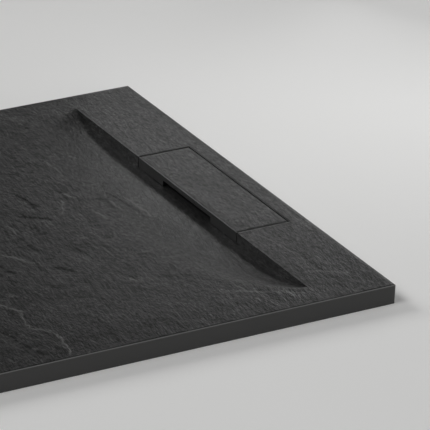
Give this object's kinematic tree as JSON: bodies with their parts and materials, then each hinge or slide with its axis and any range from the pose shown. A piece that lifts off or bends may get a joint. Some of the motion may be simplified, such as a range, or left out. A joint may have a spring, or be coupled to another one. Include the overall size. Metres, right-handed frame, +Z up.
{
  "type": "shower tray",
  "caption": "Low rectangular shower tray of mineral composite with a scooped floor, a stepped shelf and a lift-off cover that hides the drain.",
  "frame": {"origin": "centre of the rectangular underside, on the floor", "axes": "+X along the length, toward the drain end; +Y across the width, to the left seen from the far end looking at the drain; +Z up"},
  "size_m": [1.4, 0.8, 0.03],
  "materials": {
    "composite": "matt anthracite slate relief, plain cut edges",
    "steel": "turned and polished stainless steel",
    "gasket": "matt black",
    "pad": "translucent grey silicone"
  },
  "bodies": {
    "tray": {"tray_slab": "composite", "waste_flange": "steel", "flange_gasket": "gasket"},
    "cover": {"drain_cover": "composite", "cover_pad_back_right": "pad", "cover_pad_back_left": "pad", "cover_pad_front_right": "pad", "cover_pad_front_left": "pad", "cover_pad_leg_right": "pad", "cover_pad_leg_left": "pad"},
    "strainer": {"hair_strainer": "steel", "strainer_knob": "steel"}
  },
  "joints": [
    {"name": "cover_lift", "type": "slide", "parent": "tray", "child": "cover", "axis": [0, 0, 1], "range_m": [0, 0.08]},
    {"name": "strainer_lift", "type": "slide", "parent": "tray", "child": "strainer", "axis": [0, 0, 1], "range_m": [0, 0.04]}
  ],
  "couplings": [
    {"joint": "strainer_lift", "follows": "cover_lift", "ratio": 0.5}
  ]
}
